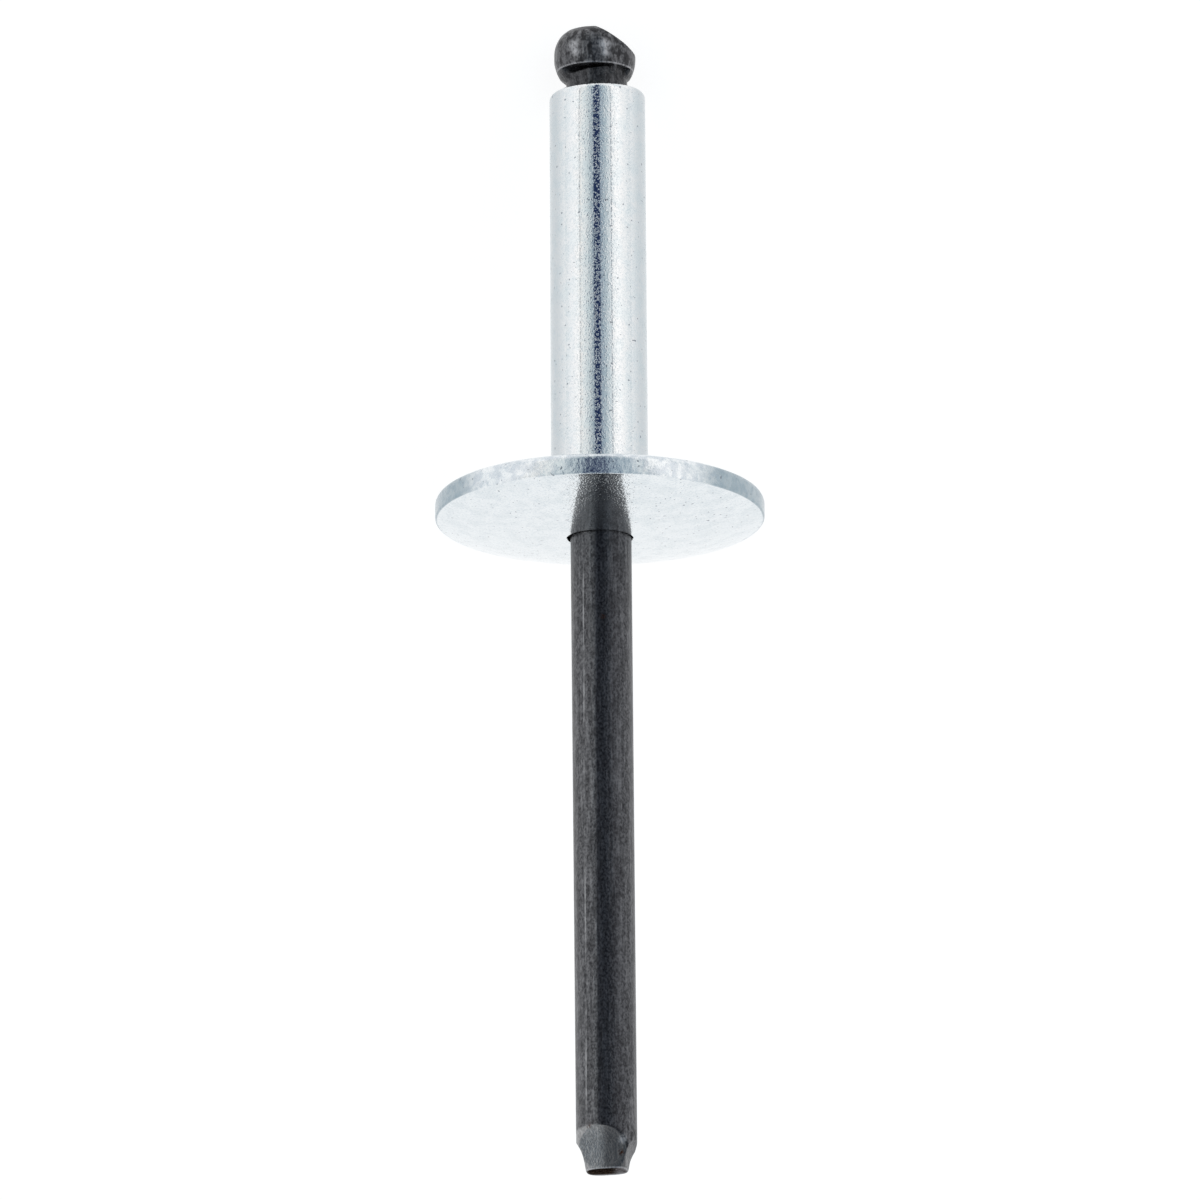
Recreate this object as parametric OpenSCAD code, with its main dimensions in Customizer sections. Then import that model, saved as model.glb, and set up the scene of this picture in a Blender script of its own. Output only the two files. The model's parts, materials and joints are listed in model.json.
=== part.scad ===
// Blind rivet with a large flange, unset, lying as it comes to rest.
// It rests on the flange's rim and on the mandrel's head, with the stem's tail raised.
// Each piece is drawn upright about the rivet's own axis: the seat of the flange is height 0,
// the head is up, the tail is down and the front is -Y. place() then lays the rivet down.

/* [Rivet body] */
// Outside diameter of the hollow shank
body_d = 4.8; // [4.6:0.1:5.4]
// Length of the hollow shank, from the flange's seat to its end
body_l = 20.7; // [10:0.1:30]
// Rounding of the hollow shank's outer end
end_round = 0.3; // [0.1:0.05:0.4]
// Fillet between the hollow shank and the seat
root_round = 0.3; // [0.1:0.05:0.6]

/* [Flange] */
// Diameter of the flange
flange_d = 16.2; // [12:0.1:20]
// Thickness of the flange at its rim
rim_t = 1.13; // [0.8:0.05:1.6]
// Height of the flange's crown above the rim
crown_h = 0.97; // [0.3:0.05:1.4]
// Rounding of the rim on the seat side
seat_round = 0.4; // [0.1:0.05:0.45]
// Rounding of the rim on the crown side
crown_round = 0.15; // [0.05:0.05:0.25]

/* [Bore] */
// Clearance between the mandrel and the bore, all round
bore_gap = 0.12; // [0.05:0.01:0.2]
// Clearance where the shank's end is drawn in to hold the mandrel
grip_gap = 0.02; // [0.01:0.01:0.04]
// Length of the drawn-in end
grip_l = 0.8; // [0.4:0.1:2]
// Bevel at the mouth of the bore, on the crown
mouth_bevel = 0.04; // [0.02:0.01:0.15]

/* [Mandrel] */
// Diameter of the mandrel's wire
mandrel_d = 3.0; // [2.6:0.05:3.2]
// Length of the stem that stands out of the flange's crown
stem_l = 32.3; // [20:0.5:45]
// Bare neck between the hollow shank's end and the head
neck_l = 0.5; // [0.2:0.05:2]

/* [Mandrel head] */
// Widest diameter of the head
head_d = 4.0; // [3.8:0.05:4.4]
// Height of the head
head_h = 2.63; // [2.4:0.01:3.2]
// Height of the head's conical underside
under_h = 0.35; // [0.2:0.05:0.5]
// Diameter at the top of the conical underside
corner_d = 3.48; // [3.3:0.02:3.7]
// Depth below the wire's surface at which the underside starts
under_sink = 0.15; // [0.12:0.01:0.2]
// Height of the belly between the underside and the head's straight side
belly_h = 0.95; // [0.6:0.05:1.2]
// Height of the head's straight side
side_h = 0.25; // [0.1:0.05:0.4]
// Diameter of the flat top
top_d = 2.74; // [2:0.02:3.2]
// How far the head was upset to the left of the wire's axis
head_shift = 0.1; // [0:0.01:0.1]
// Slope of the sheared facet on the head's right
chop_angle = 32; // [20:1:45]
// Distance from the axis at which the sheared facet leaves the top
chop_start = 0.12; // [0:0.02:0.6]

/* [Break notch] */
// Height of the nicks' flat upper face above the head's lowest point
nick_up = 0.63; // [0.55:0.01:0.8]
// Diameter of the core between the nicks, where the mandrel breaks
core_d = 2.76; // [2.4:0.02:2.8]
// How far the nicks left the core to the right of the wire's axis
core_shift = 0.2; // [0:0.01:0.2]
// Height by which the neck stands proud of the wire below the nicks
neck_proud = 0.02; // [0.01:0.01:0.05]
// Where the front nick starts, as a turn from the front to the right
nick_start = -63; // [-80:1:-40]
// Width of the front and back nicks, in degrees
wide_nick = 92; // [70:1:100]
// Width of the right and left nicks, in degrees
narrow_nick = 35; // [20:1:60]
// Width of the ridge between two nicks, in degrees
ridge = 4; // [2:1:10]

/* [Pinched tail] */
// Width of the tip between the front and back pinches
tip_depth = 1.32; // [0.8:0.02:2]
// Width of the tip between the side pinches
tip_width = 2.12; // [1.4:0.02:2.4]
// How far the front and back pinches reach up the stem
front_pinch = 1.85; // [1.2:0.05:3]
// How far the side pinches reach up the stem
side_pinch = 1.4; // [1.2:0.05:3]
// Radius of the dies that pinched the tail
pinch_round = 3.8; // [3:0.1:8]
// Turn of the pinches to the right
pinch_turn = -11; // [-45:1:45]

/* [Hidden] */
$fn = 96;

body_r = body_d / 2;
flange_r = flange_d / 2;
mandrel_r = mandrel_d / 2;
bore_r = mandrel_r + bore_gap;
grip_r = mandrel_r + grip_gap;

// Heights along the axis, from the seat
crown_z = -(rim_t + crown_h);
tail_z = crown_z - stem_l;
under_z = body_l + neck_l;
corner_z = under_z + under_h;
belly_z = corner_z + belly_h;
shoulder_z = belly_z + side_h;
top_z = under_z + head_h;
nick_z = under_z + nick_up;

// Crown of the flange: an arc that is level at the bore's mouth and falls away to the rim
mouth_r = bore_r + mouth_bevel;
crease_r = flange_r - crown_round;
crown_r = bend(crease_r - mouth_r, crown_h);
crown_fall = asin((crease_r - mouth_r) / crown_r);

// Side of the head: a belly below the straight side and a shoulder above it
head_r = head_d / 2;
corner_r = corner_d / 2;
top_r = top_d / 2;
belly_r = bend(belly_h, head_r - corner_r);
belly_angle = asin(belly_h / belly_r);
shoulder_r = bend(top_z - shoulder_z, head_r - top_r);
shoulder_angle = asin((top_z - shoulder_z) / shoulder_r);

// Cutting dies reach past what they cut
die_w = 3 * head_d;
past = 0.5;

// The resting pose: the rim's seat-side rounding and the head's shoulder both touch the floor
rest_run = flange_r - seat_round - head_r + shoulder_r;
rest_rise = shoulder_z + seat_round;
rest_tilt = acos((shoulder_r - seat_round) / norm([rest_run, rest_rise])) - atan2(rest_rise, rest_run);
rest_height = (flange_r - seat_round) * cos(rest_tilt) - seat_round * sin(rest_tilt) + seat_round;

// Far ends of the lying rivet, and the middle between them
head_end = top_r * sin(rest_tilt) + top_z * cos(rest_tilt);
tail_end = tail_z * cos(rest_tilt) - tip_depth / 2 * sin(rest_tilt);
middle = (head_end + tail_end) / 2;

// Radius of an arc that starts square to a rise and has gone over by a sideways step at its end
function bend(rise, step) = (rise * rise + step * step) / (2 * step);

// Points of an arc about a centre, from one angle to another
function arc(centre, radius, from, to, steps = 8) =
    [for (i = [0:steps]) centre + radius * [cos(from + (to - from) * i / steps), sin(from + (to - from) * i / steps)]];

module place() {
    translate([0, -middle, rest_height])
        rotate([-90 - rest_tilt, 0, 0])
            children();
}

// Half section of the body, from the bore's mouth round the flange to the shank's end
module body_section() {
    polygon(concat(
        [[bore_r, crown_z + mouth_bevel]],
        arc([mouth_r, crown_z + crown_r], crown_r, -90, -90 + crown_fall, 16),
        arc([flange_r - crown_round, -rim_t + crown_round], crown_round, -90 + crown_fall, 0),
        arc([flange_r - seat_round, -seat_round], seat_round, 0, 90),
        arc([body_r + root_round, root_round], root_round, 270, 180),
        arc([body_r - end_round, body_l - end_round], end_round, 0, 90),
        [
            [grip_r, body_l],
            [grip_r, body_l - grip_l],
            [bore_r, body_l - grip_l - (bore_r - grip_r)]
        ]
    ));
}

// Hollow shank and flange in one piece
module rivet_body() {
    color([0.80, 0.83, 0.86])
        place()
            rotate_extrude()
                body_section();
}

// Half section of the head, with its underside starting inside the wire
module head_section() {
    polygon(concat(
        [[0, under_z], [mandrel_r - under_sink, under_z]],
        arc([head_r - belly_r, belly_z], belly_r, -belly_angle, 0),
        arc([head_r - shoulder_r, shoulder_z], shoulder_r, 0, shoulder_angle),
        [[0, top_z]]
    ));
}

// What the nicks leave: a core that widens downwards, no wider than the neck
module nick_core() {
    core_h = nick_up + past;
    intersection() {
        translate([core_shift, 0, nick_z - core_h])
            cylinder(r1 = core_d / 2 + core_h, r2 = core_d / 2, h = core_h);
        translate([0, 0, nick_z - core_h])
            cylinder(r = mandrel_r + neck_proud, h = core_h);
    }
}

// Sector of the head below the nicks' flat upper face, from a turn to the right of the front
module nick_sector(start, width) {
    translate([0, 0, under_z - past / 2])
        rotate([0, 0, start - 90])
            rotate_extrude(angle = width)
                square([head_d, nick_up + past / 2]);
}

// The four nicks, with ridges between them
module nicks() {
    difference() {
        for (side = [0, 180]) {
            nick_sector(nick_start + side, wide_nick);
            nick_sector(nick_start + side + wide_nick + ridge, narrow_nick);
        }
        nick_core();
    }
}

// Hollow that a round die pinches into the stem's tail, from a turn to the right of the front
module pinch(turn, width, reach) {
    step = mandrel_r - width / 2;
    chord = norm([step, reach]);
    sag = sqrt(pinch_round * pinch_round - chord * chord / 4);
    out = (mandrel_r + width / 2) / 2 + sag * reach / chord;
    up = tail_z + reach / 2 - sag * step / chord;
    rotate([0, 0, turn])
        translate([0, -out, up])
            rotate([0, 90, 0])
                cylinder(r = pinch_round, h = die_w, center = true);
}

// Facet sheared off the head's right side
module chop() {
    translate([chop_start, 0, top_z])
        rotate([0, chop_angle, 0])
            translate([0, -die_w / 2, 0])
                cube(die_w);
}

// Wire, head, nicks and tail of the mandrel
module mandrel() {
    color([0.27, 0.27, 0.30])
        place()
            difference() {
                union() {
                    translate([0, 0, tail_z])
                        cylinder(r = mandrel_r, h = corner_z - tail_z);
                    translate([-head_shift, 0, 0])
                        rotate_extrude()
                            head_section();
                }
                chop();
                nicks();
                for (side = [0, 180]) {
                    pinch(pinch_turn + side, tip_depth, front_pinch);
                    pinch(pinch_turn + side + 90, tip_width, side_pinch);
                }
            }
}

rivet_body();
mandrel();
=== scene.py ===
"""Looks of a blind rivet with a large flange, lying on a pale floor and seen from above."""
import json
import math

import bpy
from mathutils import Matrix, Vector, noise


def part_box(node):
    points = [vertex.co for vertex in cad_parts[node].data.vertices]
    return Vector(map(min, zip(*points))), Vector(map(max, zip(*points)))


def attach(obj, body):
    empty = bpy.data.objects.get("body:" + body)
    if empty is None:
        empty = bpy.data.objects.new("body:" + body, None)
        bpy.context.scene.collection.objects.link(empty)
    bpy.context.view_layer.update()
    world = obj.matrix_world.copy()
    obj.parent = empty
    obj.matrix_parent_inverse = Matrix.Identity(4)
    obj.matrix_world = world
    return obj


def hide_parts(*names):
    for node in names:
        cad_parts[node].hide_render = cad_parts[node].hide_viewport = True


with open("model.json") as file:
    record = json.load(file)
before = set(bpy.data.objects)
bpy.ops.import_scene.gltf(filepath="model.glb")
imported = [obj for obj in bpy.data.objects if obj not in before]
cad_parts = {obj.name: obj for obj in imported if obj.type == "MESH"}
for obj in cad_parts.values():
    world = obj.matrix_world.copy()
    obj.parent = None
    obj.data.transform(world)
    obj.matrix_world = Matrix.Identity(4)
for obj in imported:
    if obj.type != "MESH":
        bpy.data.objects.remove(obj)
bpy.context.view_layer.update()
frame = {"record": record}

# The rivet's own frame, in millimetres: x to the right, y away from the viewer, z towards the head,
# with the seat of the flange at z 0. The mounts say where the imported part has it.
MM = 0.001
mounts = {mount["name"]: mount for mount in frame["record"]["mounts"]}
RIGHT = Vector((1, 0, 0))
AXIS = Vector(mounts["shank"]["axis"]).normalized()
BACK = AXIS.cross(RIGHT)
seat_point = Vector(mounts["seat"]["pos_m"])
SEAT = Vector((0, seat_point.y, seat_point.z))
TURN = Matrix((RIGHT, BACK, AXIS)).transposed()
RIVET = Matrix.Translation(SEAT) @ TURN.to_4x4() @ Matrix.Scale(MM, 4)

# Sizes of the rivet body. The taper and the lean are how far this one is from a true cylinder.
BODY_R = mounts["shank"]["dims"]["r_mm"]
BODY_L = 20.7
BODY_TAPER = 0.04
END_LEAN = 0.05
END_ROUND = 0.3
ROOT_ROUND = 0.3
flange_low, flange_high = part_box("rivet_body")
FLANGE_R = (flange_high.x - flange_low.x) / 2 / MM
RIM_T = 1.13
CROWN_H = 0.97
SEAT_ROUND = 0.4
CROWN_ROUND = 0.15
WIRE_R = mounts["pull_stem"]["dims"]["r_mm"]
BORE_GAP = 0.12
GRIP_GAP = 0.02
BORE_R = WIRE_R + BORE_GAP
GRIP_R = WIRE_R + GRIP_GAP
GRIP_L = 0.8
MOUTH_BEVEL = 0.04

# Sizes of the mandrel along its axis
STEM_L = 32.3
NECK_L = 0.5
UNDER_H = 0.35
BELLY_H = 0.95
SIDE_H = 0.25
HEAD_H = 2.63
NICK_UP = 0.63

# Heights of the mandrel, from the seat
TAIL_Z = -(RIM_T + CROWN_H + STEM_L)
UNDER_Z = BODY_L + NECK_L
CORNER_Z = UNDER_Z + UNDER_H
BELLY_Z = CORNER_Z + BELLY_H
SHOULDER_Z = BELLY_Z + SIDE_H
TOP_Z = UNDER_Z + HEAD_H
NICK_Z = UNDER_Z + NICK_UP

# Sizes of the mandrel's head and of the facet sheared off it
HEAD_R = 2.0
CORNER_R = 1.74
TOP_R = 1.42
UNDER_SINK = 0.15
HEAD_SHIFT = -0.08
CHOP_ANGLE = math.radians(32)
CHOP_START = 0.0
CHOP_BLEND = 0.025

# The break notch: turns in degrees from the front to the right
CORE_R = 1.38
CORE_SHIFT = 0.2
NECK_PROUD = 0.02
NICK_START = -63
WIDE_NICK = 92
NARROW_NICK = 35
RIDGE = 4
WIDE_RUN_OUT = 24
NARROW_RUN_OUT = 14
RUN_IN = 5
LIP = 0.02

# The four pinches of the tail: turn in degrees, half width of the tip and reach up the stem
PINCHES = ((-11, 0.66, 2.0), (79, 1.02, 1.5), (169, 0.66, 2.0), (259, 1.02, 1.5))
PINCH_ROUND = 2.1
PINCHED_H = 2.1
PINCH_BLEND = 0.02

# How sharply the pinches meet: an exponent at the tip, its gain, and the height where it has it all
TIP_SHARPNESS = 2.8
SHARPNESS_GAIN = 60
SHARP_FROM = 1.2

# The tail's end face: share of its radius and depth of the dish there
DISH = ((0.25, 0.07), (0.5, 0.06), (0.75, 0.045), (0.9, 0.02), (0.97, 0.0))
END_EDGE = 0.03

# Unevenness of the worked steel, at the head and the tail
RIPPLE_DEPTH = 0.012
RIPPLE_SIZE = 0.45

# How the mandrel leans to the right in its bore: offset at the shank's end and slope down to the tail
LEAN_START = -0.02
LEAN = 0.003

# How many points each ring of a mesh has
BODY_TURNS = 240
MANDREL_TURNS = 288

# Specks of rust and lighter spots on the mandrel: place and size. The three at the tail are scraped where the
# dies pinched it, and the four on the head are lighter patches.
RUST = (
    ((-0.78, -1.28, TAIL_Z + 2.0), 0.26),
    ((0.85, -0.85, TAIL_Z + 0.75), 0.24),
    ((-0.88, -0.6, TAIL_Z + 0.2), 0.16),
    ((-0.3, -1.0, TOP_Z - 0.1), 0.5),
    ((0.1, -1.5, -6.5), 0.2),
)
LIGHTER_SPOTS = (
    ((-0.88, -1.2, TAIL_Z + 1.65), 0.26),
    ((0.9, -1.15, TAIL_Z + 1.3), 0.34),
    ((0.65, -0.4, TAIL_Z), 0.3),
    ((-1.1, -1.65, TOP_Z - 1.05), 0.5),
    ((-1.05, -1.7, TOP_Z - 1.4), 0.35),
    ((0.37, -1.95, TOP_Z - 1.1), 0.5),
    ((0.4, -1.95, TOP_Z - 1.5), 0.35),
)
DRAWN_LINE_X = -0.84

# Colours of the zinc plate. A pair is mixed by a cloudy noise. The flange's pair is the plate's colour
# darkened and made bluer, as painted shade on the flange's face.
SHANK_ZINC = ((0.88, 0.88, 0.88, 1), (0.82, 0.85, 0.86, 1))
FLANGE_SHADED_ZINC = ((0.82, 0.85, 0.865, 1), (0.75, 0.79, 0.81, 1))
RIM_ZINC = ((0.86, 0.88, 0.89, 1), (0.66, 0.70, 0.74, 1))
ZINC_SHADE = (0.05, 0.14, 0.19, 1)
ZINC_GRAIN = (0.40, 0.50, 0.58, 1)
ZINC_PIT = (0.12, 0.14, 0.18, 1)
ZINC_BUMP = 0.0055

# Colours of the dark steel. Its ground and its marks are each given plain and in the darker band.
STEEL_GROUND = ((0.048, 0.048, 0.052, 1), (0.020, 0.020, 0.024, 1))
STEEL_MARKS = ((0.24, 0.24, 0.25, 1), (0.085, 0.088, 0.100, 1))
LINE_COLOUR = (0.42, 0.42, 0.43, 1)
# Soot, also used as the painted shade under the head
SOOT_AND_SHADE_COLOUR = (0.022, 0.022, 0.024, 1)
BARE_COLOURS = ((0.38, 0.38, 0.385, 1), (0.13, 0.13, 0.135, 1))
SMEAR_COLOUR = (0.06, 0.06, 0.06, 1)
LIGHTER_SPOT_COLOUR = (0.46, 0.46, 0.48, 1)
# The end face's colour and its tint are painted shade
END_SHADE_COLOUR = (0.050, 0.040, 0.034, 1)
RUST_COLOUR = (0.045, 0.014, 0.005, 1)
PLAIN_TINT = (1, 1, 1, 1)
END_SHADE_TINT = (0.15, 0.13, 0.12, 1)
STEEL_BUMP = 0.012

# The photograph's scale and frame
PIXELS = 1200
PX_PER_MM = 20.35
VIEW_BELOW = math.radians(16.25)
VIEW_ROLL = math.radians(0.36)
VIEW_FAR = 2.4
VIEW_AIM = Vector((-0.02, 0, -5.23))
SENSOR = 36.0
CLIP_NEAR = 0.01
CLIP_FAR = 20

# The studio's light, fitted until the shank's reflections looked like the photograph's:
# degrees from overhead towards the right, then red, green and blue
LIGHT = (
    # Left side, with the dark edge of its soft box
    (-120, 0.74, 0.78, 0.80),
    (-90, 0.86, 0.91, 0.93),
    (-74, 0.98, 1.00, 1.02),
    (-57, 1.10, 1.10, 1.10),
    (-51, 1.09, 1.09, 1.08),
    (-50, 0.45, 0.47, 0.49),
    (-48, 0.45, 0.47, 0.49),
    (-47, 1.00, 0.99, 0.96),
    (-37, 0.84, 0.89, 0.90),
    (-28, 0.68, 0.75, 0.77),
    (-18, 0.46, 0.54, 0.58),
    (-13, 0.33, 0.41, 0.48),
    # Dark gap overhead
    (-11, 0.006, 0.02, 0.08),
    (5, 0.006, 0.02, 0.08),
    # Right side, with the dark edge of its soft box
    (7, 0.32, 0.40, 0.48),
    (19, 0.47, 0.56, 0.61),
    (29, 0.70, 0.77, 0.80),
    (34, 0.80, 0.84, 0.86),
    (35, 0.34, 0.37, 0.41),
    (37, 0.34, 0.37, 0.41),
    (38, 1.02, 1.03, 1.03),
    (49, 1.14, 1.14, 1.14),
    (56, 1.16, 1.16, 1.16),
    (65, 1.05, 1.05, 1.05),
    (79, 0.88, 0.92, 0.94),
    (120, 0.72, 0.76, 0.79),
)

# The floor: half its width in metres, its own colour and the light it gives
FLOOR_HALF = 3.0
FLOOR_GREY = (0.30, 0.30, 0.30, 1)
FLOOR_GLOW = 0.84


def arc(centre, radius, start, end, steps):
    """Points of an arc, angles in degrees, from start to end."""
    angles = [math.radians(start + (end - start) * i / steps) for i in range(steps + 1)]
    return [(centre[0] + radius * math.cos(a), centre[1] + radius * math.sin(a)) for a in angles]


def spread(start, end, steps):
    """Values evenly between two, without the ends."""
    return [start + (end - start) * i / steps for i in range(1, steps)]


def loft(name, rings, closed=False):
    """A mesh through rings of points. If it isn't closed on itself, a middle point closes each end."""
    count = len(rings[0])
    points = [point for ring in rings for point in ring]
    faces = []
    for low in range(len(rings) if closed else len(rings) - 1):
        high = (low + 1) % len(rings)
        for i in range(count):
            j = (i + 1) % count
            faces.append((low * count + i, low * count + j, high * count + j, high * count + i))
    if not closed:
        for ring, flip in ((0, True), (len(rings) - 1, False)):
            middle = len(points)
            points.append(sum((Vector(p) for p in rings[ring]), Vector()) / count)
            for i in range(count):
                a, b = ring * count + i, ring * count + (i + 1) % count
                faces.append((b, a, middle) if flip else (a, b, middle))
    mesh = bpy.data.meshes.new(name)
    mesh.from_pydata([tuple(p) for p in points], [], faces)
    mesh.transform(RIVET)
    mesh.shade_smooth()
    mesh.set_sharp_from_angle(angle=math.radians(30))
    piece = bpy.data.objects.new(name, mesh)
    bpy.context.collection.objects.link(piece)
    return piece


def around(count):
    """Turns about the axis, from the front to the right."""
    return [2 * math.pi * i / count for i in range(count)]


def at(turn, radius, height):
    """A point at a turn from the front to the right, a distance from the axis and a height."""
    return Vector((radius * math.sin(turn), -radius * math.cos(turn), height))


def body_profile():
    """Half section of the rivet body, from the bore's mouth round the flange to the shank's end and back."""
    crown_z = -(RIM_T + CROWN_H)
    mouth_r = BORE_R + MOUTH_BEVEL
    span = FLANGE_R - CROWN_ROUND - mouth_r
    crown_r = (span * span + CROWN_H * CROWN_H) / (2 * CROWN_H)
    fall = math.degrees(math.asin(span / crown_r))
    points = [(BORE_R, crown_z + MOUTH_BEVEL)]
    points += arc((mouth_r, crown_z + crown_r), crown_r, -90, fall - 90, 40)
    points += arc((FLANGE_R - CROWN_ROUND, CROWN_ROUND - RIM_T), CROWN_ROUND, fall - 90, 0, 8)
    points += arc((FLANGE_R - SEAT_ROUND, -SEAT_ROUND), SEAT_ROUND, 0, 90, 10)
    points += arc((BODY_R + ROOT_ROUND, ROOT_ROUND), ROOT_ROUND, 270, 180, 8)
    points += [(BODY_R, height) for height in spread(ROOT_ROUND, BODY_L - END_ROUND, 24)]
    points += arc((BODY_R - END_ROUND, BODY_L - END_ROUND), END_ROUND, 0, 90, 10)
    points += [(GRIP_R, BODY_L), (GRIP_R, BODY_L - GRIP_L), (BORE_R, BODY_L - GRIP_L - (BORE_R - GRIP_R))]
    return points


def body_point(turn, radius, height):
    """A point of the body, with the shank's slight taper and its end a little out of square."""
    up = min(max(height / BODY_L, 0), 1)
    if radius < FLANGE_R / 2 and radius > BORE_R:
        radius -= BODY_TAPER * up
    return at(turn, radius, height + END_LEAN * math.sin(turn) * max(0, up - 0.9) * 10)


def make_body():
    """The rivet body as one fine revolved mesh."""
    turns = around(BODY_TURNS)
    rings = [[body_point(turn, r, z) for turn in turns] for r, z in body_profile()]
    return loft("rivet_body_skin", rings, closed=True)


def soft_min(a, b, width):
    """The smaller of two values, blended where they are closer than width."""
    blend = max(width - abs(a - b), 0) / width
    return min(a, b) - blend * blend * width / 4


def bend(rise, step):
    """Radius of an arc that starts square to a rise and has gone over by a sideways step at its end."""
    return (rise * rise + step * step) / (2 * step)


def tail_radius(turn, height):
    """Distance of the tail's surface from the axis, where four round dies pinched the wire to an oval tip."""
    up = height - TAIL_Z
    sharpness = TIP_SHARPNESS + SHARPNESS_GAIN * min(up / SHARP_FROM, 1) ** 1.5
    total = 0
    for middle, half_width, reach in PINCHES:
        facing = math.cos(turn - math.radians(middle))
        if facing > 0:
            step = WIRE_R - half_width
            chord = math.hypot(step, reach)
            sag = math.sqrt(PINCH_ROUND ** 2 - chord ** 2 / 4)
            out = (WIRE_R + half_width) / 2 + sag * reach / chord
            above = up - reach / 2 + sag * step / chord
            wall = out - math.sqrt(max(PINCH_ROUND ** 2 - above ** 2, 0))
            total += (facing * WIRE_R / wall) ** sharpness
    return soft_min(WIRE_R, WIRE_R * total ** (-1 / sharpness), PINCH_BLEND)


def head_side(height):
    """Distance of the head's outside from the head's own axis."""
    if height < CORNER_Z:
        start = WIRE_R - UNDER_SINK
        return start + (CORNER_R - start) * max(height - UNDER_Z, 0) / (CORNER_Z - UNDER_Z)
    if height < BELLY_Z:
        belly_r = bend(BELLY_Z - CORNER_Z, HEAD_R - CORNER_R)
        return HEAD_R - belly_r + math.sqrt(belly_r ** 2 - (BELLY_Z - height) ** 2)
    return HEAD_R


def outside(turn, height):
    """Distance of the wire or the head from the wire's axis, before the nicks."""
    head = head_side(height) + HEAD_SHIFT * math.sin(turn)
    return max(WIRE_R, head) if height < CORNER_Z else head


def nick_share(turn):
    """How deep the nicks are at a turn, from 0 outside them to 1, with ends that run out to the surface."""
    past = (math.degrees(turn) - NICK_START) % 180
    wide = (0, WIDE_NICK, WIDE_RUN_OUT)
    narrow = (WIDE_NICK + RIDGE, NARROW_NICK, NARROW_RUN_OUT)
    deepest = 0
    for start, width, run_out in (wide, narrow):
        inside = min((past - start) / run_out, (start + width - past) / RUN_IN, 1)
        deepest = max(deepest, inside)
    return deepest * (2 - deepest)


def nicked(turn, height):
    """Distance of the surface from the axis below the nicks' flat upper face."""
    whole = outside(turn, height)
    core = CORE_R + NICK_Z - height + CORE_SHIFT * math.sin(turn)
    floor = min(whole, core, WIRE_R + NECK_PROUD)
    return whole + (floor - whole) * nick_share(turn)


def chopped(point):
    """A point of the head, pulled in to the sheared facet where it lies beyond it."""
    heart = Vector((0, 0, BELLY_Z))
    facing = Vector((math.sin(CHOP_ANGLE), 0, math.cos(CHOP_ANGLE)))
    depth = facing.dot(Vector((CHOP_START, 0, TOP_Z)) - heart)
    out = facing.dot(point - heart)
    if out <= depth / 2:
        return point
    return heart + (point - heart) * soft_min(1.0, depth / out, CHOP_BLEND)


def tail_rings(turns):
    """The slightly dished end face and the pinched tail."""
    edge = [tail_radius(turn, TAIL_Z) for turn in turns]
    rings = []
    for share, dish in DISH:
        rings.append([at(turn, r * share, TAIL_Z + dish) for turn, r in zip(turns, edge)])
    steps = 80
    for i in range(steps + 1):
        height = TAIL_Z + END_EDGE + PINCHED_H * i / steps
        rings.append([at(turn, tail_radius(turn, height), height) for turn in turns])
    return rings


def head_rings(turns):
    """The head above the nicks' flat upper face, up to the middle of the top."""
    profile = [(outside(0, NICK_Z) - LIP, NICK_Z + LIP / 10)]
    profile += [(head_side(height), height) for height in spread(NICK_Z, SHOULDER_Z, 18)]
    shoulder_r = bend(TOP_Z - SHOULDER_Z, HEAD_R - TOP_R)
    end = math.degrees(math.asin((TOP_Z - SHOULDER_Z) / shoulder_r))
    profile += arc((HEAD_R - shoulder_r, SHOULDER_Z), shoulder_r, 0, end, 22)
    profile += [(radius, TOP_Z) for radius in spread(TOP_R, 0, 16)]
    shift = Vector((HEAD_SHIFT, 0, 0))
    return [[chopped(at(turn, radius, height) + shift) for turn in turns] for radius, height in profile]


def unevenness(point):
    """How far a point is moved out by hammering and pinching, which fades out along the plain wire."""
    on_head = min((point.z - SHOULDER_Z + 1) / 0.5, 1)
    on_tail = min((TAIL_Z + 2.2 - point.z) / 0.8, 1)
    return RIPPLE_DEPTH * max(on_head, on_tail, 0) * noise.noise(point / RIPPLE_SIZE)


def make_mandrel():
    """The mandrel as one fine mesh: tail, wire, nicks and head."""
    turns = around(MANDREL_TURNS)
    rings = tail_rings(turns)
    nick_start = UNDER_Z - 0.1
    for height in spread(rings[-1][0].z, nick_start, 70):
        rings.append([at(turn, WIRE_R, height) for turn in turns])
    for height in spread(nick_start - 0.01, NICK_Z + 0.01, 34):
        rings.append([at(turn, nicked(turn, height), height) for turn in turns])
    rings += head_rings(turns)
    for ring in rings:
        for point in ring:
            point += at(math.atan2(point.x, -point.y), unevenness(point), 0)
            point.x += LEAN_START + LEAN * (BODY_L - point.z)
    return loft("mandrel_skin", rings)


def node(tree, kind, **values):
    """A new shader node with its settings."""
    made = tree.nodes.new(kind)
    for name, value in values.items():
        setattr(made, name, value)
    return made


def rivet_coordinates(tree):
    """Millimetres in the rivet's own frame, for whatever the surface is."""
    place = node(tree, "ShaderNodeTexCoord")
    mapping = node(tree, "ShaderNodeMapping", vector_type="TEXTURE")
    mapping.inputs["Location"].default_value = SEAT
    mapping.inputs["Rotation"].default_value = TURN.to_euler()
    mapping.inputs["Scale"].default_value = (MM, MM, MM)
    tree.links.new(place.outputs["Object"], mapping.inputs["Vector"])
    return mapping.outputs["Vector"]


def feed(tree, socket, value):
    """Links a socket to an input, or sets the input to a number or a colour."""
    if isinstance(value, bpy.types.NodeSocket):
        tree.links.new(value, socket)
    else:
        socket.default_value = value


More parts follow.
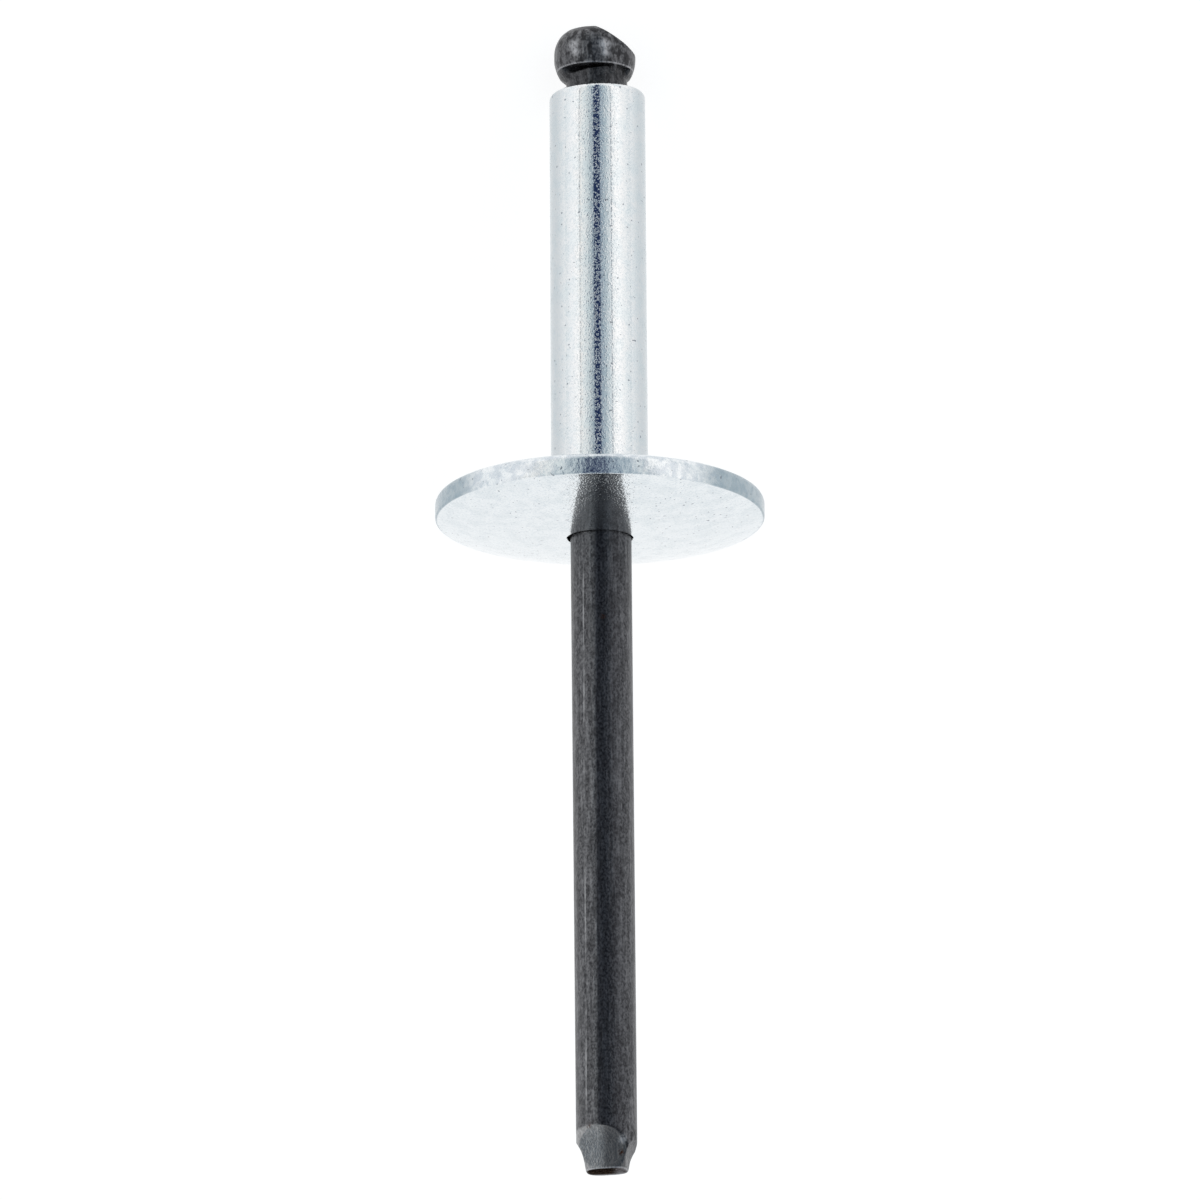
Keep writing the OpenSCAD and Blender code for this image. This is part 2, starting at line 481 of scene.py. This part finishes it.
def maths(tree, operation, *values):
    """The result of a maths node."""
    made = node(tree, "ShaderNodeMath", operation=operation)
    for socket, value in zip(made.inputs, values):
        feed(tree, socket, value)
    return made.outputs[0]


def times(tree, first, second):
    """The product of two values."""
    return maths(tree, "MULTIPLY", first, second)


def plus(tree, first, second):
    """The sum of two values."""
    return maths(tree, "ADD", first, second)


def larger(tree, first, second):
    """The larger of two values."""
    return maths(tree, "MAXIMUM", first, second)


def between(tree, value, low, high, start=0.0, end=1.0):
    """A value's place between two limits, as a smooth step from start to end."""
    made = node(tree, "ShaderNodeMapRange", interpolation_type="SMOOTHSTEP")
    limits = {"Value": value, "From Min": low, "From Max": high, "To Min": start, "To Max": end}
    for name, number in limits.items():
        feed(tree, made.inputs[name], number)
    return made.outputs["Result"]


def blend(tree, share, first, second):
    """A colour between two, by a share."""
    made = node(tree, "ShaderNodeMix", data_type="RGBA")
    feed(tree, made.inputs["Factor"], share)
    feed(tree, made.inputs["A"], first)
    feed(tree, made.inputs["B"], second)
    return made.outputs["Result"]


def grain(tree, place, size, detail=2.0, stretch=1.0):
    """Noise with grains of a size in millimetres, drawn out along the rivet's axis by a stretch."""
    squash = node(tree, "ShaderNodeVectorMath", operation="MULTIPLY")
    tree.links.new(place, squash.inputs[0])
    squash.inputs[1].default_value = (1 / size, 1 / size, 1 / (size * stretch))
    made = node(tree, "ShaderNodeTexNoise")
    made.inputs["Scale"].default_value = 1.0
    made.inputs["Detail"].default_value = detail
    tree.links.new(squash.outputs["Vector"], made.inputs["Vector"])
    return made.outputs["Fac"]


def near(tree, place, spots):
    """1 at each of some spots of the rivet's own frame, fading to 0 at the spot's size."""
    share = 0.0
    for spot, size in spots:
        gap = node(tree, "ShaderNodeVectorMath", operation="DISTANCE")
        tree.links.new(place, gap.inputs[0])
        gap.inputs[1].default_value = spot
        share = larger(tree, between(tree, gap.outputs["Value"], 0.0, size, 1.0, 0.0), share)
    return share


def facing_tail(tree):
    """How far a surface faces the tail's end, from -1 to 1."""
    place = node(tree, "ShaderNodeTexCoord")
    made = node(tree, "ShaderNodeVectorMath", operation="DOT_PRODUCT")
    tree.links.new(place.outputs["Normal"], made.inputs[0])
    made.inputs[1].default_value = -AXIS
    return made.outputs["Value"]


def bump(tree, shader, height, depth):
    """Raises the surface by a height from 0 to 1, times a depth in millimetres."""
    made = node(tree, "ShaderNodeBump")
    made.inputs["Distance"].default_value = depth * MM
    tree.links.new(height, made.inputs["Height"])
    tree.links.new(made.outputs["Normal"], shader.inputs["Normal"])


def new_material(name):
    """A material, its node tree and shader, and the rivet's own place, x, z and distance from the axis."""
    material = bpy.data.materials.new(name)
    material.use_nodes = True
    tree = material.node_tree
    shader = tree.nodes["Principled BSDF"]
    place = rivet_coordinates(tree)
    parts = node(tree, "ShaderNodeSeparateXYZ")
    tree.links.new(place, parts.inputs["Vector"])
    x, y, z = parts.outputs
    radius = maths(tree, "SQRT", plus(tree, times(tree, x, x), times(tree, y, y)))
    return material, tree, shader, place, x, z, radius


def zinc():
    """Bright zinc plate, speckled and faintly pitted, with a mottled rim.

    The darker left and right sides of the shank and the rim are shading from the photograph, kept in
    the colour at fixed places on the rivet. They aren't marks of the real plating.
    """
    material, tree, shader, place, x, z, radius = new_material("zinc_plate_bright")
    shank = times(tree, between(tree, radius, 2.8, 3.0, 1.0, 0.0), between(tree, z, -0.2, 0.0))
    rim_side = between(tree, radius, FLANGE_R - 0.16, FLANGE_R - 0.1)
    rim = times(tree, rim_side, between(tree, z, -RIM_T, 0.04 - RIM_T))

    cloud = between(tree, grain(tree, place, 0.8, 4), 0.38, 0.66)
    speck = between(tree, grain(tree, place, 0.09, 1), 0.50, 0.68)
    fine = grain(tree, place, 0.10, 1)
    pits = between(tree, grain(tree, place, 0.15, 0), 0.79, 0.81)
    mottle = between(tree, grain(tree, place, 0.34, 4), 0.36, 0.64)

    plate = blend(tree, cloud, *SHANK_ZINC)
    # The flange's face takes a darker, bluer copy of the zinc colour: painted shade
    face = blend(tree, cloud, *FLANGE_SHADED_ZINC)
    dull = blend(tree, mottle, *RIM_ZINC)
    clean = blend(tree, rim, blend(tree, shank, face, plate), dull)
    aside = maths(tree, "ABSOLUTE", x)
    sides = times(tree, shank, between(tree, aside, 1.3, 2.15, 0.0, 0.36))
    off_centre = maths(tree, "ABSOLUTE", plus(tree, x, 0.5))
    flanks = times(tree, rim, between(tree, off_centre, 5.0, 6.6, 0.0, 0.60))
    shaded = blend(tree, plus(tree, sides, flanks), clean, ZINC_SHADE)
    grainy = blend(tree, between(tree, fine, 0.45, 0.68, 0.0, 0.22), shaded, ZINC_GRAIN)
    pitted = blend(tree, times(tree, pits, 0.7), grainy, ZINC_PIT)
    feed(tree, shader.inputs["Base Color"], pitted)

    shader.inputs["Metallic"].default_value = 0.98
    rough = plus(tree, between(tree, cloud, 0, 1, 0.04, 0.08), times(tree, rim, 0.13))
    feed(tree, shader.inputs["Roughness"], rough)

    waves = times(tree, grain(tree, place, 0.9, 0), 0.25)
    plain = plus(tree, waves, times(tree, fine, 0.16))
    worn = times(tree, times(tree, mottle, 2.2), rim)
    height = plus(tree, plus(tree, speck, plain), worn)
    strength = between(tree, shank, 0, 1, 0.45, 1.0)
    bump(tree, shader, times(tree, height, strength), ZINC_BUMP)
    return material


def dark_steel():
    """Dark drawn wire: marks along it, scraped where the dies pinched it, with specks of rust.

    The darker band from its middle to its right, and the darker right of the bare tail, are shading
    from the photograph, kept in the colour at fixed places. They aren't marks of the real steel.
    """
    material, tree, shader, place, x, z, radius = new_material("dark_steel_drawn")
    shader.inputs["Metallic"].default_value = 1
    fine = between(tree, grain(tree, place, 0.10, 2, 1.4), 0.32, 0.68)
    streaks = between(tree, grain(tree, place, 0.17, 3, 16), 0.42, 0.72)
    marks = plus(tree, times(tree, streaks, 0.4), times(tree, fine, 0.55))
    head = between(tree, z, BODY_L, BODY_L + 0.1)
    worked = larger(tree, head, between(tree, z, TAIL_Z + 2.3, TAIL_Z + 1.8))

    # The drawn wire, with its darker band and one long scored line
    band = times(tree, between(tree, x, -0.36, -0.2), between(tree, x, -0.1, 2.0, 1.0, 0.0))
    dimmed = times(tree, band, between(tree, head, 0, 1, 1.0, 0.25))
    ground = blend(tree, dimmed, *STEEL_GROUND)
    light = blend(tree, dimmed, *STEEL_MARKS)
    drawn = blend(tree, marks, ground, light)
    line_gap = maths(tree, "ABSOLUTE", plus(tree, x, -DRAWN_LINE_X))
    line_breaks = between(tree, grain(tree, place, 0.3, 2, 8), 0.4, 0.6)
    drawn_line = times(tree, between(tree, line_gap, 0.01, 0.05, 1.0, 0.0), line_breaks)
    on_wire = between(tree, head, 0, 1, 0.6, 0.0)
    scored = blend(tree, times(tree, drawn_line, on_wire), drawn, LINE_COLOUR)

    # Soot in blotches on the head and the tail, and painted shade on the neck and under the head's lip
    blotch = between(tree, grain(tree, place, 0.30, 4, 1.5), 0.46, 0.60)
    blotches = times(tree, blotch, between(tree, worked, 0, 1, 0.4, 0.85))
    neck = times(tree, between(tree, z, NICK_Z - 0.05, NICK_Z, 0.5, 0.0), head)
    sooty_and_shaded = blend(tree, larger(tree, blotches, neck), scored, SOOT_AND_SHADE_COLOUR)

    # Bare steel where the dies pinched the tail
    below_pinch = between(tree, z, TAIL_Z + 2.1, TAIL_Z + 1.95)
    pinched = times(tree, below_pinch, between(tree, radius, WIRE_R - 0.01, WIRE_R - 0.05))
    bare = blend(tree, between(tree, x, -0.35, 0.25), *BARE_COLOURS)
    smeared = blend(tree, times(tree, fine, 0.35), bare, SMEAR_COLOUR)
    flattened = blend(tree, times(tree, pinched, 0.9), sooty_and_shaded, smeared)

    # Lighter edges and spots: scraped at the tail, lighter patches on the head
    lip_top = between(tree, z, NICK_Z + 0.09, NICK_Z + 0.04)
    lip = times(tree, between(tree, z, NICK_Z - 0.01, NICK_Z + 0.01), lip_top)
    tip = between(tree, z, TAIL_Z + 0.09, TAIL_Z + 0.05)
    edges = times(tree, larger(tree, lip, tip), 0.6)
    scraped = larger(tree, near(tree, place, LIGHTER_SPOTS), edges)
    patchy = between(tree, marks, 0.0, 0.5, 0.35, 0.95)
    brighter = blend(tree, times(tree, scraped, patchy), flattened, LIGHTER_SPOT_COLOUR)

    # The end face, darkened with painted shade that is deepest at its left and also dims its reflection, and
    # the rust
    at_end = between(tree, z, TAIL_Z + 0.3, TAIL_Z + 0.2)
    end = times(tree, between(tree, facing_tail(tree), 0.93, 0.99), at_end)
    end_shade_share = times(tree, end, between(tree, x, 0.3, 0.8, 1.0, 0.25))
    end_shaded = blend(tree, end_shade_share, brighter, END_SHADE_COLOUR)
    ragged = between(tree, grain(tree, place, 0.12, 3), 0.40, 0.55)
    rusty = blend(tree, times(tree, near(tree, place, RUST), ragged), end_shaded, RUST_COLOUR)
    feed(tree, shader.inputs["Base Color"], rusty)
    feed(tree, shader.inputs["Specular Tint"], blend(tree, end, PLAIN_TINT, END_SHADE_TINT))
    feed(tree, shader.inputs["Roughness"], between(tree, fine, 0, 1, 0.32, 0.48))

    height = plus(tree, times(tree, streaks, 0.5), times(tree, fine, 0.7))
    hammered = times(tree, grain(tree, place, 0.5, 2), worked)
    bump(tree, shader, plus(tree, height, hammered), STEEL_BUMP)
    return material


def make_floor():
    """A wide pale floor that glows, so that shadows stay faint."""
    corners = [(x * FLOOR_HALF, y * FLOOR_HALF, 0) for x, y in ((-1, -1), (1, -1), (1, 1), (-1, 1))]
    mesh = bpy.data.meshes.new("floor")
    mesh.from_pydata(corners, [], [(0, 1, 2, 3)])
    floor = bpy.data.objects.new("floor", mesh)
    bpy.context.collection.objects.link(floor)
    material = bpy.data.materials.new("floor_white")
    material.use_nodes = True
    shader = material.node_tree.nodes["Principled BSDF"]
    shader.inputs["Base Color"].default_value = FLOOR_GREY
    shader.inputs["Roughness"].default_value = 1.0
    shader.inputs["Specular IOR Level"].default_value = 0.0
    shader.inputs["Emission Color"].default_value = (1, 1, 1, 1)
    shader.inputs["Emission Strength"].default_value = FLOOR_GLOW
    mesh.materials.append(material)


def make_camera():
    """The photograph's view: close to square on, a little from the tail's side, from far away."""
    towards = -math.cos(VIEW_BELOW) * BACK - math.sin(VIEW_BELOW) * AXIS
    up = -math.sin(VIEW_BELOW) * BACK + math.cos(VIEW_BELOW) * AXIS
    turn = Matrix((up.cross(towards), up, towards)).transposed().to_4x4()
    aim = RIVET @ VIEW_AIM
    data = bpy.data.cameras.new("camera")
    data.sensor_width = SENSOR
    data.lens = SENSOR * VIEW_FAR / (PIXELS / PX_PER_MM * MM)
    data.clip_start = CLIP_NEAR
    data.clip_end = CLIP_FAR
    camera = bpy.data.objects.new("camera", data)
    roll = Matrix.Rotation(-VIEW_ROLL, 4, "Z")
    camera.matrix_world = Matrix.Translation(aim + towards * VIEW_FAR) @ turn @ roll
    bpy.context.collection.objects.link(camera)
    bpy.context.scene.camera = camera


def make_light():
    """A pale studio dome: bright at the sides, with a narrow dark gap overhead along the rivet."""
    world = bpy.data.worlds.new("studio")
    bpy.context.scene.world = world
    world.use_nodes = True
    tree = world.node_tree
    place = node(tree, "ShaderNodeTexCoord")
    parts = node(tree, "ShaderNodeSeparateXYZ")
    tree.links.new(place.outputs["Generated"], parts.inputs["Vector"])
    share = node(tree, "ShaderNodeMapRange")
    share.inputs["From Min"].default_value = -math.pi
    share.inputs["From Max"].default_value = math.pi
    feed(tree, share.inputs["Value"], maths(tree, "ARCTAN2", parts.outputs["X"], parts.outputs["Z"]))
    ramp = node(tree, "ShaderNodeValToRGB")
    tree.links.new(share.outputs["Result"], ramp.inputs["Fac"])
    stops = ramp.color_ramp.elements
    stops.remove(stops[0])
    for i, (degrees, red, green, blue) in enumerate(LIGHT):
        spot = (degrees + 180) / 360
        stop = stops[0] if i == 0 else stops.new(spot)
        stop.position = spot
        stop.color = (red, green, blue, 1)
    tree.links.new(ramp.outputs["Color"], tree.nodes["Background"].inputs["Color"])


body = make_body()
body.data.materials.append(zinc())
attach(body, "root")
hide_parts("rivet_body")

mandrel = make_mandrel()
mandrel.data.materials.append(dark_steel())
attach(mandrel, "root")
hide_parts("mandrel")

make_floor()
make_camera()
make_light()
bpy.context.scene.view_settings.view_transform = "Standard"
